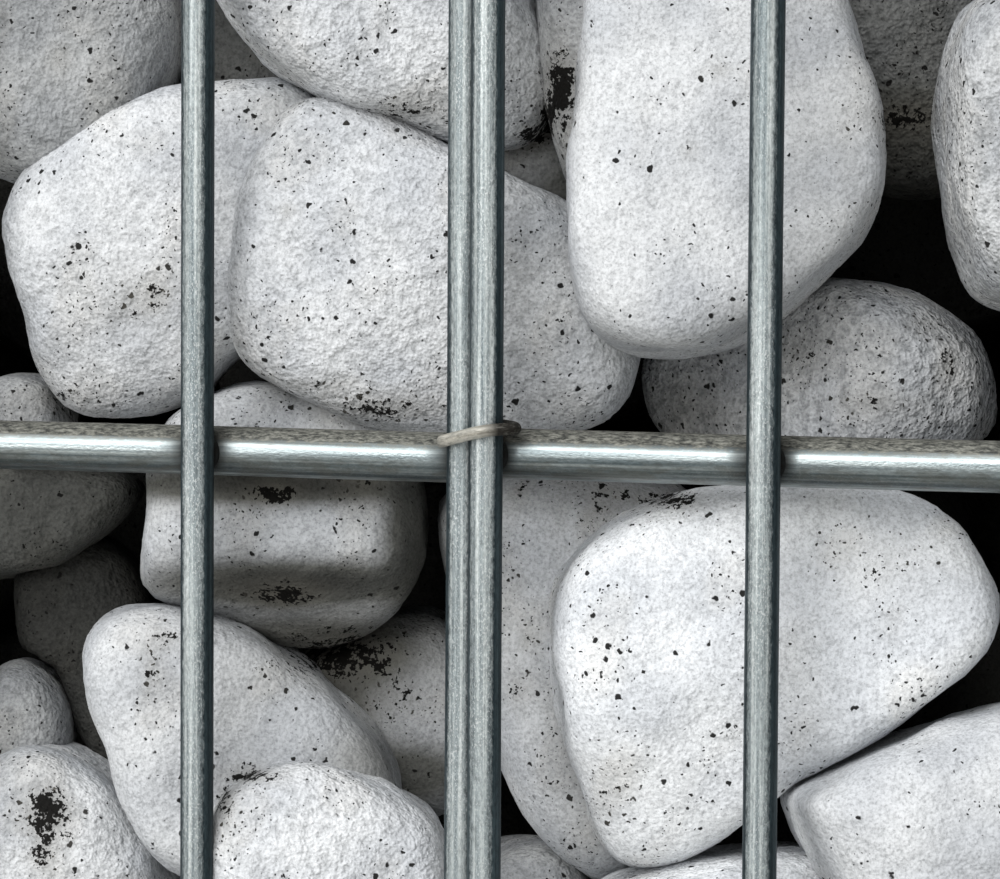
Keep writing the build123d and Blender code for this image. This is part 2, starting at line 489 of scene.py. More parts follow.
def makeSteel(name, look):
    # Hot-dip galvanised wire, weathered dull. A matt bloom of zinc with bright flecks and short streaks
    # along the wire covers the uprights, the rods are barer and shine; dust lies on what faces up, and
    # black dirt surrounds the welds, with a painted shadow of the upright on the rod to one side. Painted
    # shade darkens the sides of the uprights and the lower half of the rods
    s = Shader(name)
    flow = s.attribute("flow", "Vector")
    shine, stainAndShade, face = (s.attribute(key) for key in ("shine", "stainAndShade", "face"))
    upFace = s.add("SeparateXYZ", 2, {0: s.add("NewGeometry", "Normal", {})})

    def stretched(lengthwise, crosswise, detail, rough=0.6):
        scale = (1 / lengthwise, 1 / crosswise, 1 / crosswise)
        return s.noise(s.add("Mapping", 0, {"Vector": flow, "Scale": scale}), 1.0, detail, rough)

    streak = stretched(70 * mm, 0.8 * mm, 2.0)
    grain = stretched(1.5 * mm, 0.5 * mm, 2.0, 0.75)
    fleck = stretched(0.5 * mm, 0.27 * mm, 1.0, 0.65)
    blotch = stretched(20 * mm, 7 * mm, 2.0)
    colour = s.graded(streak, (0.3, look["dark"]), (0.5, look["body"]), (0.68, look["light"]))
    grainy = s.graded(grain, (0.34, "#7B7F80"), (0.52, "#E0E2E2"), (0.66, "#FFFFFF"))
    colour = s.darkened(s.times(shine, -0.15, 0.5), colour, grainy)
    # Painted shade: the sides of an upright are darker and bluer than its outer face; a rod is left as it is
    outer = s.maths("MAXIMUM", s.graded(s.times(grain, 0.25, face), (0.8, 0.0), (1.0, 1.0)), shine)
    colour = s.mixed(outer, s.darkened(1.0, colour, look["side"]), colour)
    # Painted shade on the lower half of a rod, lighter again at its very bottom as a painted reflection; smut
    # lies there in blotches
    height = s.times(upFace, 0.5, 0.5)
    paintedUnderShade = s.graded(height, (0.0, "#F0F2F2"), (0.12, "#96999A"), (0.28, "#B2B6B7"), (0.42, "#D4D8D9"),
                         (0.53, "#F0F2F2"))
    colour = s.mixed(shine, colour, s.darkened(1.0, colour, paintedUnderShade))
    smut = s.graded(stretched(7 * mm, 2.2 * mm, 3.0, 0.7), (0.44, 0.0), (0.58, 1.0))
    smut = s.times(s.times(smut, s.graded(height, (0.1, 1.0), (0.4, 0.8), (0.52, 0.0))), shine)
    colour = s.mixed(s.times(smut, 0.5), colour, look["dustDark"])
    # Bright flecks where the bloom is thick
    flecks = s.times(s.graded(fleck, (0.55, 0.0), (0.66, 1.0)), s.graded(blotch, (0.35, 0.3), (0.6, 1.0)))
    flecks = s.times(s.times(flecks, outer), s.times(shine, -0.88, 1.0))
    colour = s.mixed(s.times(flecks, look["flecks"]), colour, look["fleck"])
    # Dust on what faces up; on a rod it lies thicker, with a ragged edge
    dust = s.times(s.graded(upFace, (0.25, 0.0), (0.8, 1.0)), s.graded(grain, (0.36, 0.15), (0.6, 1.0)))
    thick = s.times(s.graded(s.times(grain, 0.35, upFace), (0.51, 0.0), (0.73, 1.0)), shine)
    dust = s.maths("MAXIMUM", s.times(dust, look["dustAmount"]), s.times(thick, 0.92))
    dirt = s.graded(grain, (0.36, look["dirt"]), (0.5, look["dustDark"]), (0.7, look["dust"]))
    colour = s.mixed(dust, colour, s.mixed(shine, look["dust"], dirt))
    # Dark weld dirt, and a painted shadow of the upright on the rod beside a weld
    stainAndShadeAmount = s.times(stainAndShade, s.graded(grain, (0.34, 0.85), (0.5, 1.0)))
    colour = s.mixed(s.times(stainAndShadeAmount, 0.97), colour, look["stainAndShade"])

    dull = s.maths("MINIMUM", s.times(dust, 0.8, stainAndShadeAmount), 1.0)
    metal = s.times(s.times(shine, look["shinier"], look["metal"]), s.times(dull, -1.0, 1.0))
    rough = s.times(dull, 0.4, s.times(grain, 0.2, s.times(shine, -0.07, look["rough"])))
    relief = s.times(fleck, 0.7, grain)
    bump = s.add("Bump", 0, {"Strength": 0.6, "Distance": 0.1 * mm, "Height": relief})
    return s.finish(Base_Color=colour, Roughness=rough, Metallic=metal, Normal=bump, Specular_IOR_Level=0.12)


# The side colour is painted shade on the sides of an upright; the stain colour is dark weld dirt and also a
# painted shadow beside the welds
steelLook = dict(
    dark="#798386", body="#A3ABAC", light="#CDD3D2", side="#5E6B71", fleck="#F4F6F5", flecks=0.4,
    dust="#8C8B82", dustDark="#5E5D56", dirt="#2C2B27", dustAmount=0.6, stainAndShade="#14110E",
    metal=0.55, shinier=0.4, rough=0.36,
)
ringLook = dict(
    dark="#A39E92", body="#CFCBC0", light="#ECE8DE", side="#8A8378", fleck="#EFEBE0", flecks=0.3,
    dust="#8F8C80", dustDark="#74736B", dirt="#3C3A35", dustAmount=0.4, stainAndShade="#14110E",
    metal=0.5, shinier=0.0, rough=0.26,
)
stoneMaterial = makeStone()
steelMaterial = makeSteel("weathered_galvanised_wire", steelLook)
ringMaterial = makeSteel("dull_coated_ring_wire", ringLook)
report("materials")

for number, name in enumerate(panelNames):
    verts, faces, values = panelMesh(name, 1000 + 37 * number)
    addMesh(name.replace("_mesh", "_welded_mesh"), name, steelMaterial, verts, faces, values)


# C-rings

rings = dict(
    wire=2.2 * mm, play=0.2 * mm, sides=10, steps=36, fineSides=20, fineSteps=120,
    tilt=9.5, drop=0.6 * mm, slip=0.9 * mm,     # its slope in degrees, how far it hangs and lies to the side
    lift=4.9 * mm,                               # above or below the rod
    overlap=0.06,                                # how far its ends pass each other, as a share of the loop
    undarkened=0.19,                                  # the share to both sides of the middle of its front that is not darkened
)


def ringTube(first, second, height, outward, fine):
    # A loop of wire drawn tight round two bars: the outline of both, a bar's radius and half the ring's
    # wire away from their middles, tilted, with the ends passing each other on the inner side
    steps, sides = (rings["fineSteps"], rings["fineSides"]) if fine else (rings["steps"], rings["sides"])
    middle = (first + second) / 2
    reach = np.linalg.norm(second - first) / 2
    along = (second - first) / (2 * reach)
    away = np.array((along[1], -along[0]))
    if away @ outward < 0:
        away = -away
    radius = mesh["wire"] / 2 + rings["wire"] / 2 + rings["play"]
    arc = math.pi * radius
    total = 2 * arc + 4 * reach
    # From the middle of the inner side round one bar, the outer side and the other bar, past the start
    share = np.linspace(-rings["overlap"], 1 + rings["overlap"], steps)
    corners = np.cumsum((0, reach, arc, 2 * reach, arc, reach))
    turned = np.interp(share * total % total, corners, np.array((0, 0, 1, 1, 2, 2)) * math.pi)
    x = np.interp(share * total % total, corners, np.array((0, 1, 1, -1, -1, 0)) * reach)
    x, y = x + radius * np.sin(turned), -radius * np.cos(turned)
    side = 1.0 if along[0] > 0 else -1.0
    z = (1 + y / radius) / 2 * (x * math.tan(math.radians(rings["tilt"])) - side * rings["drop"])
    z += (0.5 - share) * rings["wire"] * 1.05
    path = np.stack([middle[0] + along[0] * x + away[0] * y + side * rings["slip"] * abs(along[0]),
                     middle[1] + along[1] * x + away[1] * y, height + side * z], -1)
    way = unit(np.gradient(path, axis=0))
    out = unit(np.cross(way, (0.0, 0.0, 1.0)))
    sizes = np.full(steps, rings["wire"] / 2)
    sizes[[0, -1]] *= 0.75
    third = np.cross(out, way)
    part = swept(path[None], sizes, out[None], third[None], sides, (share * total + height)[None])
    # How far a place is from the middle of the front; the ring is darker towards its ends
    dull = np.clip(np.abs(share - 0.5) / rings["undarkened"], 0, 1) ** 3
    return marked(part, np.concatenate([np.repeat(dull, sides), dull[[0, -1]]]))


def edgeWire(name, end):
    # Plan point of a panel's first or last wire
    return panelBars(name)[0][end][0][:2]


def ringColumn(node):
    # The rings that tie two edge wires, one at each rod
    kind, _, side, last = node.split("_")
    outward = np.array((0.0, -1.0 if side == "front" else 1.0))
    rods = rodHeights
    if kind == "joint":
        first = edgeWire(f"{side}_mesh_{last}", -1)
        second = edgeWire(f"{side}_mesh_{int(last) + 1}", 0)
    else:
        left = last == "left"
        first = edgeWire(f"{side}_mesh_{1 if left else mesh['baskets']}", 0 if left else -1)
        second = edgeWire(f"end_mesh_{last}", 0 if side == "front" else -1)
        outward = outward + (-1.0 if left else 1.0, 0.0)
        rods = rodHeights + endShifts
    parts = []
    for z in rods:
        lift = rings["lift"] if z < rodHeights.mean() else -rings["lift"]
        fine = node == "joint_rings_front_1" and abs(z - joint["z"]) < 1 * mm
        parts.append(ringTube(first, second, z + lift, outward, fine))
    return joined(parts)


for node in [n for n in sorted(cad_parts) if "_rings_" in n]:
    verts, faces, flow = ringColumn(node)
    one = np.ones(len(verts))
    values = {"flow": flow[:, :3], "face": one, "shine": 0 * one, "stainAndShade": flow[:, 3]}
    addMesh(node.replace("_rings", "_bent_rings"), node, ringMaterial, verts, faces, values)


# Stones

def cubeSphere(n):
    # Directions of a sphere from a cube's six grids, spaced evenly by the tangent, with shared edges merged
    g = np.tan(np.linspace(-math.pi / 4, math.pi / 4, n + 1))
    a, b = np.meshgrid(g, g, indexing="ij")
    one = np.ones_like(a)
    sides = [np.stack(s, -1) for s in ((one, a, b), (-one, b, a), (b, one, a), (a, -one, b), (a, b, one),
                                       (b, a, -one))]
    points = np.concatenate([s.reshape(-1, 3) for s in sides])
    i, j = np.meshgrid(np.arange(n), np.arange(n), indexing="ij")
    m = n + 1
    quad = np.stack([i * m + j, (i + 1) * m + j, (i + 1) * m + j + 1, i * m + j + 1], -1).reshape(-1, 4)
    quads = repeated(quad, 6, m * m)
    _, first, back = np.unique(np.round(points, 6), axis=0, return_index=True, return_inverse=True)
    return unit(points[first]), back.reshape(-1)[quads]


def closedCurve(points, count=240):
    # A smooth closed line through given points: Catmull-Rom cubics, as whole arrays
    p = np.array(points, float).reshape(-1, 2)
    t = np.linspace(0, len(p), count, endpoint=False)
    i = t.astype(int)
    u = (t - i)[:, None]
    a, b, c, d = (p[(i + k) % len(p)] for k in (-1, 0, 1, 2))
    return 0.5 * (2 * b + (c - a) * u + (2 * a - 5 * b + 4 * c - d) * u ** 2
                  + (3 * b - a - 3 * c + d) * u ** 3)


# The stones in view. Outline as seen, x and y by turns, in pixels of the 1000 x 879 view; front is how
# far its nearest point lies behind the welds, thick its depth from front to back, in mm. Cuts are blunt
# planes: pixel, depth behind the welds in mm, degrees turned to the right and up. Tone is how light a
# stone is drawn; its low values on stones that lie deep or in the shade of others are painted shade.
# The dark patches are painted shade, under the rod and in creases and hollows: pixel, half width, half
# height and how dark
seen = dict(
    topLeft=dict(rugged=1.4, front=9, thick=52, tone=0.31, outline=(
        -60, -40, 60, -75, 165, -45, 190, 10, 186, 70, 150, 130, 90, 175, 20, 185, -60, 130)),
    left=dict(rugged=1.05, front=6, thick=50, tone=0.45,
        cuts=((190, 240, 8, -8, 10), (110, 370, 11, -10, -24)), outline=(
        20, 190, 60, 140, 110, 108, 180, 88, 250, 84, 310, 92, 345, 150, 335, 250, 290, 320, 235, 360, 190,
        405, 130, 421, 75, 412, 40, 370, 20, 300, 12, 240)),
    centre=dict(rugged=1.3, front=3, thick=50, tone=0.46,
        cuts=((360, 250, 6, -9, 8), (560, 300, 10, 33, 4), (350, 380, 8, -6, -18)), outline=(
        265, 128, 310, 100, 370, 108, 450, 148, 510, 178, 568, 210, 618, 265, 640, 335, 630, 390, 590, 425,
        500, 437, 380, 430, 320, 408, 262, 382, 233, 350, 225, 300, 229, 240, 242, 175)),
    topCentre=dict(rugged=1.5, front=3, thick=56, tone=0.45,
        cuts=((370, 20, 7, -8, 6), (525, 60, 11, 40, 0), (400, 105, 11, -4, -27)), outline=(
        213, -25, 250, 45, 320, 95, 385, 124, 450, 148, 505, 153, 543, 136, 553, 90, 545, 40, 525, -15, 470,
        -60, 380, -85, 280, -75)),
    tall=dict(rugged=0.65, pitted=-0.25, front=1.2, thick=58, square=6.5, tone=0.44,
        cuts=((700, 150, 3, -5, 4), (850, 120, 6, 9, 7)), outline=(
        600, -60, 585, 0, 575, 80, 567, 190, 569, 255, 582, 310, 610, 340, 655, 352, 720, 346, 782, 314, 838,
        262, 868, 215, 877, 165, 870, 100, 850, 40, 820, -25, 775, -75, 700, -98, 640, -92)),
    narrow=dict(front=14, thick=44, tone=0.34, outline=(
        540, -30, 535, 40, 543, 105, 556, 160, 572, 190, 605, 160, 615, 60, 605, -20, 570, -55)),
    behindNarrow=dict(front=30, thick=40, tone=0.2, paintedShade=((572, 210, 36, 46, 0.7),), outline=(
        470, 150, 515, 133, 560, 137, 605, 170, 605, 235, 540, 245, 480, 205)),
    farRight=dict(rugged=2.0, front=50, thick=44, tone=0.17,
        paintedShade=((900, 120, 80, 30, 0.9), (900, 170, 90, 40, 0.7)), outline=(
        800, -30, 880, -75, 990, -60, 1040, 40, 1020, 130, 950, 192, 885, 195, 832, 150, 805, 60)),
    rightEdge=dict(rugged=1.8, front=4, thick=48, tone=0.38, outline=(
        965, 10, 946, 60, 939, 125, 945, 190, 958, 248, 990, 300, 1070, 300, 1120, 200, 1100, 80, 1040, 0,
        995, -8)),
    underTall=dict(rugged=2.0, front=25, thick=48, tone=0.42, square=2.8, cuts=((700, 400, 40, -36, 0),),
        paintedShade=((690, 420, 80, 50, 0.5),), outline=(
        640, 352, 690, 332, 755, 315, 790, 296, 832, 277, 900, 289, 950, 312, 985, 350, 992, 410, 950, 455,
        850, 478, 730, 472, 660, 440, 636, 395)),
    lowerRight=dict(rugged=0.7, pitted=-0.1, front=0.6, thick=64, square=9.0, tone=0.62,
        cuts=((690, 640, 2.2, -7, 8), (870, 560, 2.6, -6, 12), (640, 830, 8, -5, -22)), outline=(
        553, 620, 560, 578, 590, 540, 640, 510, 705, 490, 790, 479, 870, 485, 940, 510, 978, 560, 985, 615,
        955, 665, 880, 722, 785, 782, 705, 843, 645, 865, 602, 850, 577, 790, 560, 710)),
    bottomRight=dict(rugged=0.75, pitted=-0.25, front=3, thick=50, square=3.4, tone=0.44, outline=(
        783, 802, 789, 786, 812, 773, 880, 740, 961, 712, 1030, 700, 1095, 740, 1095, 850, 1020, 925, 900,
        930, 830, 890, 798, 845)),
    bottom=dict(front=5, thick=46, outline=(
        590, 890, 650, 866, 720, 853, 800, 847, 848, 875, 862, 930, 780, 985, 660, 985, 590, 940)),
    behindLower=dict(rugged=0.7, front=26, thick=50, tone=0.44,
        paintedShade=((600, 492, 110, 22, 0.4), (455, 600, 50, 120, 0.5), (620, 700, 70, 160, 0.3)), outline=(
        440, 510, 500, 470, 600, 465, 690, 500, 710, 610, 690, 750, 650, 850, 600, 880, 545, 845, 500, 765,
        465, 640)),
    underRod=dict(rugged=0.8, front=9, thick=46, tone=0.4,
        cuts=((270, 575, 15, 0, -52), (280, 520, 11, -4, 10), (400, 520, 17, 45, 0)),
        paintedShade=((270, 486, 180, 20, 0.97), (290, 584, 150, 26, 0.97), (280, 594, 34, 13, 0.7),
        (412, 540, 32, 80, 0.85), (300, 636, 150, 24, 0.7)), outline=(
        142, 560, 148, 500, 160, 445, 200, 400, 260, 385, 340, 398, 400, 430, 425, 495, 421, 555, 395, 608,
        345, 643, 292, 652, 235, 632, 165, 606, 145, 588)),
    lowerLeft=dict(rugged=0.8, pitted=-0.15, front=12, thick=46, square=5.5, tone=0.42,
        paintedShade=((370, 765, 50, 40, 0.5),), outline=(
        88, 655, 100, 622, 130, 606, 185, 605, 245, 625, 300, 660, 350, 700, 390, 752, 402, 810, 380, 860,
        300, 890, 215, 880, 160, 850, 125, 790, 103, 725)),
    lowerFront=dict(front=1.5, thick=46, square=5.0, outline=(
        212, 812, 230, 785, 262, 764, 302, 755, 360, 770, 412, 800, 441, 832, 452, 890, 430, 965, 350, 1005,
        265, 985, 218, 920, 205, 855)),
    bottomLeft=dict(front=4, thick=50, tone=0.44, outline=(
        -40, 790, 15, 750, 60, 745, 112, 776, 150, 820, 172, 866, 180, 930, 120, 995, 20, 995, -60, 900)),
    leftShade=dict(front=26, thick=40, tone=0.3, outline=(
        -20, 690, 15, 658, 52, 668, 75, 708, 70, 755, 30, 785, -30, 765)),
    leftWedge=dict(front=30, thick=40, tone=0.1, outline=(
        -20, 460, 60, 455, 128, 474, 136, 500, 92, 545, 40, 573, -20, 565)),
    behindWedge=dict(front=38, thick=36, tone=0.0, outline=(
        20, 570, 60, 535, 120, 545, 155, 600, 150, 690, 165, 790, 125, 800, 80, 715, 55, 660, 25, 640)),
    leftSliver=dict(front=24, thick=34, tone=0.3, outline=(
        -10, 385, 45, 375, 72, 405, 62, 445, 10, 450)),
    behindLeft=dict(rugged=0.7, front=42, thick=44, tone=0.36,
        paintedShade=((340, 650, 85, 44, 0.97), (330, 720, 45, 60, 0.8), (400, 775, 80, 34, 0.8)), outline=(
        300, 670, 340, 632, 400, 612, 450, 620, 485, 700, 475, 785, 430, 815, 370, 792, 318, 735)),
    behindTop=dict(front=40, thick=44, tone=0.15, outline=(
        185, 10, 230, -10, 290, 40, 335, 95, 310, 125, 230, 125, 190, 80)),
    behindBottom=dict(front=34, thick=40, tone=0.3, outline=(
        480, 855, 530, 838, 575, 850, 595, 905, 550, 945, 485, 925)),
)


drawn = dict(
    fine=30, coarse=20, fineFront=15,        # cells along a sixth of a stone, fine if its front is near
    sharp=9, square=3.8,                     # how sharply cuts meet the body, and its powers if none is given
    swells=((0.9, 34), (0.45, 14), (0.16, 6), (0.08, 3)),    # height and length of its lumps in mm
    tone=0.5, rugged=1.25, share=11,         # every so many points stand for a stone when others are packed
)


def seenStone(item, n, seed):
    # A body whose outline across the view is the drawn one and whose section towards the eye is a
    # superellipse: r = ((s / R)^q + (c / D)^q)^(-1/q), cut by a few blunt planes, then lumps of four sizes
    curve = closedCurve(item["outline"])
    middle = (curve.min(0) + curve.max(0)) / 2
    half = item["thick"] / 2 * mm
    centre, pixel = onView(middle[0], middle[1], item["front"] * mm + half * 0.97)
    line = (curve - middle) * (pixel, -pixel)
    angle = np.arctan2(line[:, 1], line[:, 0])
    order = np.argsort(angle)
    radius = lengthOf(line)[order]
    u, quads = cubeSphere(n)
    across, upward, forward = u @ right, u @ up, u @ -ahead
    r = np.interp(np.arctan2(upward, across), angle[order], radius, period=2 * math.pi)
    q, sharp = item.get("square", drawn["square"]), drawn["sharp"]
    inverse = ((np.hypot(across, upward) / r) ** q + (np.abs(forward) / half) ** q) ** (1 / q)
    total = inverse ** sharp
    for px, py, depth, turned, raised in item.get("cuts", ()):
        normal = unit(-ahead + math.tan(math.radians(turned)) * right + math.tan(math.radians(raised)) * up)
        distance = (onView(px, py, depth * mm)[0] - centre) @ normal
        total += (np.clip(u @ normal, 0, None) / max(distance, 4 * mm)) ** sharp
    points = centre + u * (total ** (-1 / sharp))[:, None]
    moved = points + np.random.default_rng(seed).uniform(-1, 1, 3)
    swells = enumerate(drawn["swells"])
    a, b, c, d = (high * mm * waves(moved, seed + k, wide * mm) for k, (high, wide) in swells)
    return points + u * (a + b + (c + d))[:, None], quads


# Crusts of dark matter on the stones in view: pixel, half width and half height in pixels, how thick
crusts = (
    (272, 492, 26, 12, 1.0), (285, 594, 40, 14, 0.9), (536, 137, 18, 12, 1.0), (560, 88, 18, 46, 1.0),
    (548, 118, 12, 24, 1.0), (905, 118, 36, 15, 0.9), (155, 298, 18, 20, 0.75), (48, 812, 26, 32, 1.0),
    (44, 852, 16, 22, 0.9), (345, 655, 70, 30, 0.9), (395, 700, 40, 26, 0.6), (668, 500, 46, 10, 0.9),
    (250, 776, 40, 11, 0.8), (226, 805, 11, 26, 0.85), (165, 640, 18, 14, 0.64), (150, 672, 10, 22, 0.6),
    (513, 508, 8, 8, 0.9), (557, 517, 7, 8, 0.85), (592, 520, 10, 12, 0.9), (606, 493, 15, 12, 0.95),
    (520, 488, 7, 6, 0.8), (515, 580, 6, 10, 0.8), (530, 640, 9, 14, 0.75), (518, 690, 12, 16, 0.75),
    (365, 470, 22, 26, 0.6), (720, 70, 14, 9, 0.6), (288, 212, 9, 8, 0.8), (948, 365, 10, 18, 0.9),
    (385, 408, 60, 13, 0.72), (310, 386, 40, 10, 0.6), (400, 108, 60, 14, 0.62), (140, 300, 42, 34, 0.5),
    (60, 398, 30, 12, 0.55), (850, 140, 20, 60, 0.42), (880, 560, 60, 40, 0.44), (610, 790, 34, 40, 0.5),
    (335, 665, 40, 14, 0.7), (150, 650, 12, 9, 0.6), (870, 205, 18, 22, 0.4), (925, 325, 26, 12, 0.6),
    (868, 402, 44, 14, 0.55), (800, 352, 30, 20, 0.5), (690, 150, 10, 8, 0.5), (480, 118, 16, 12, 0.5),
    (58, 60, 12, 16, 0.6),
)

# Places with many pits: pixel, half width and half height, how much is added to the cluster value
pocked = (
    (380, 402, 120, 22, 0.85), (270, 340, 40, 60, 0.35), (110, 392, 90, 28, 0.7), (150, 300, 46, 40, 0.55),
    (210, 330, 30, 70, 0.4), (400, 104, 100, 24, 0.75), (320, 70, 60, 50, 0.55), (530, 130, 36, 20, 0.5),
    (830, 350, 110, 70, 0.7), (930, 370, 50, 60, 0.85), (900, 110, 70, 70, 0.6), (540, 280, 40, 90, 0.3),
    (600, 800, 50, 60, 0.45), (640, 520, 60, 24, 0.5), (240, 800, 40, 40, 0.5), (30, 830, 70, 70, 0.5),
    (60, 40, 60, 60, 0.35), (150, 650, 50, 44, 0.6), (960, 150, 30, 120, 0.8), (700, 60, 80, 50, 0.2),
    (520, 600, 40, 160, 0.3),
)


def viewPlaces(verts):
    # The pixels of the view at which points lie
    way = verts - eye
    depth = way @ ahead
    return (view["width"] / 2 + way @ right / depth * view["focalPixels"],
            view["height"] / 2 - way @ up / depth * view["focalPixels"])


def markedAt(verts, marks):
    # How near each point is, as seen, to a listed mark: its own strength at its middle
    px, py = viewPlaces(verts)
    amount = np.zeros(len(verts))
    for cx, cy, wide, high, strength in marks:
        far = np.hypot((px - cx) / wide, (py - cy) / high)
        amount = np.maximum(amount, strength * np.exp(-0.9 * far ** 2))
    return amount


def withPaintedShade(verts, tone, spots):
    # The tone lowered by soft round patches of painted shade: pixel, half width, half height and how much
    px, py = viewPlaces(verts)
    kept = np.full(len(verts), float(tone))
    for cx, cy, wide, high, amount in spots:
        kept *= 1 - amount * np.exp(-np.hypot((px - cx) / wide, (py - cy) / high) ** 3)
    return kept


def stoneValues(verts, tone, crust, rugged):
    # Columns of tone, crust, cloud, cluster and rugged; cloud and cluster vary slowly, 0 to 1
    cloud = 0.5 + 0.5 * waves(verts, 71, 15 * mm)
    cluster = 0.5 + 0.55 * waves(verts, 72, 17 * mm)
    return np.stack([np.broadcast_to(v, len(verts)) for v in (tone, crust, cloud, cluster, rugged)], 1)


def addStones(name, parts, node):
    verts, faces, values = joined(parts)
    values = dict(zip(("tone", "crust", "cloud", "cluster", "rugged"), values.T))
    addMesh(name, node, stoneMaterial, verts, faces, values)


def stonesInView():
    parts = []
    for k, item in enumerate(seen.values()):
        fine = item["front"] < drawn["fineFront"]
        verts, quads = seenStone(item, drawn["fine"] if fine else drawn["coarse"], 300 + 7 * k)
        tone = withPaintedShade(verts, item.get("tone", drawn["tone"]), item.get("paintedShade", ()))
        values = stoneValues(verts, tone, markedAt(verts, crusts), item.get("rugged", drawn["rugged"]))
        values[:, 3] += markedAt(verts, pocked) + item.get("pitted", 0.0) - 0.1
        parts.append((verts, quads, noTriangles, values))
    return parts


noTriangles = np.zeros((0, 3), int)
heroParts = stonesInView()
half = len(heroParts) // 2
addStones("joint_stones_left", heroParts[:half], "stone_fill_1")
addStones("joint_stones_right", heroParts[half:], "stone_fill_2")
report("stones in view")

# The other stones: balls of uneven size pushed apart until they fit the baskets, then each one is grown
# to a rounded body between the planes that part it from its neighbours, the bars and the drawn stones
packing = dict(
    seed=11, small=27 * mm, large=42 * mm, filled=0.76,     # radii, and the share of the room that they fill
    rounds=140, give=0.42,           # rounds of pushing, and the share of an overlap that each one undoes
    bulge=7 * mm,                    # stones press between the rods, out to the uprights
    roundness=7.0, gap=0.35 * mm,    # how sharply a stone's planes meet, and the gap to its neighbours
    inner=0.4 * mm, rodGap=0.3 * mm,     # a stone's lap behind the uprights, and its gap to a rod
    dark=58 * mm,                    # stones deeper than this get painted shade, the darkest tone
    viewSide=200 * mm, viewHalf=250 * mm,    # stones this near to the joint keep out of the room
    heroPush=120 * mm, heroPlane=130 * mm,   # those this near to a drawn stone's middle keep off it
    fineFrom=190 * mm, fineSkin=95 * mm,     # those this near to the joint and to the outside are made finely
    shell=1.35, core=3,              # how deep the outer and the innermost stones begin, in radii
    cells=dict(near=10, shell=5, deep=3, core=2),    # along a sixth of a stone
)

# The room in front of the camera is kept for the drawn stones: no other stone comes nearer than this
# behind the welds, nor in from the sides of the view, whose corners are given in pixels
room = dict(depth=88 * mm, corners=((-14, 893), (-14, -14), (1014, -14), (1014, 893)))

fills = np.array([nodeBox(f"stone_fill_{bay + 1}") for bay in range(mesh["baskets"])])
fillLow, fillHigh = fills[:, 0], fills[:, 1]
wallLow = np.array((fillLow[0][0], fillLow[:, 1].min(), fillLow[0][2]))
wallHigh = np.array((fillHigh[-1][0], fillHigh[:, 1].max(), fillHigh[0][2]))
heroSpots = [p[0][::drawn["share"]] for p in heroParts]
heroPoints = np.concatenate(heroSpots)
heroOwner = np.repeat(np.arange(len(heroSpots)), [len(spots) for spots in heroSpots])
heroCentres = np.array([p[0].mean(0) for p in heroParts])


def closePairs(points, reach):
    # Every pair of points nearer than reach, found among those whose places along the wall are that near
    order = np.argsort(points[:, 0])
    xs = points[order, 0]
    counts = np.searchsorted(xs, xs + reach) - np.arange(len(xs)) - 1
    first = np.repeat(np.arange(len(xs)), counts)
    second = first + 1 + np.arange(counts.sum()) - np.repeat(np.cumsum(counts) - counts, counts)
    a, b = order[first], order[second]
    near = lengthOf(points[a] - points[b]) < reach
    return a[near], b[near]


def roomLimit(points):
    # For each point, the plane that keeps its stone out of that room: normal towards it and distance.
    # The planes are the back of the room and the four sides of the view, through the eye
    spots = [onView(px, py, 0)[0] - eye for px, py in room["corners"]]
    sides = unit(np.array([np.cross(spots[k], spots[(k + 1) % 4]) for k in range(4)]))
    sides = sides * np.sign(sides @ sum(spots))[:, None]
    beyond = -(points - eye) @ sides.T
    outside = beyond.max(1)
    deep = points[:, 1] - (joint["weld"] + room["depth"])
    normal = np.where((deep > outside)[:, None], (0.0, -1.0, 0.0), sides[beyond.argmax(1)])
    return normal, np.maximum(deep, outside)


def packStones():
    rng = np.random.default_rng(packing["seed"])
    bulge, size = packing["bulge"], wallHigh - wallLow
    volume = np.prod(size + 2 * bulge)
    radii, total = [], 0.0
    while total < packing["filled"] * volume:
        radii.append(rng.uniform(packing["small"], packing["large"]))
        total += 4 / 3 * math.pi * radii[-1] ** 3
    radii = np.array(radii)
    points = wallLow + rng.uniform(0, 1, (len(radii), 3)) * size
    for turn in range(packing["rounds"]):
        if turn % 8 == 0:
            a, b = closePairs(points, 2 * packing["large"] + 12 * mm)
            toHero = lengthOf(points[:, None] - heroCentres[None]).min(1)
            nearHero = np.nonzero(toHero < packing["heroPush"])[0]
        gap = points[b] - points[a]
        length = lengthOf(gap)
        push = np.clip(radii[a] + radii[b] - length, 0, None) * packing["give"]
        move = gap / np.maximum(length, 1e-6)[:, None] * push[:, None]
        np.add.at(points, a, -move * 0.5)
        np.add.at(points, b, move * 0.5)
        # Away from the drawn stones: out from the nearest point of their surface
        there = points[nearHero]
        reach = lengthOf(there[:, None] - heroPoints[None])
        nearest = reach.argmin(1)
        distance = reach.min(1)
        out = unit(there - heroCentres[heroOwner[nearest]])
        inside = np.einsum("ij,ij->i", there - heroPoints[nearest], out) < 0
        lack = np.where(inside, radii[nearHero] + distance, np.clip(radii[nearHero] - distance, 0, None))
        points[nearHero] += out * lack[:, None] * 0.5
        close = (np.abs(points[:, 0] - joint["x"]) < packing["viewSide"]) & (points[:, 1] < 0)
        normal, distance = roomLimit(points[close])
        points[close] -= normal * np.clip(0.85 * radii[close] - distance, 0, None)[:, None]
        inset = radii[:, None] * 0.9 - bulge
        points = np.clip(points, wallLow + inset, wallHigh - inset)
    return points, radii


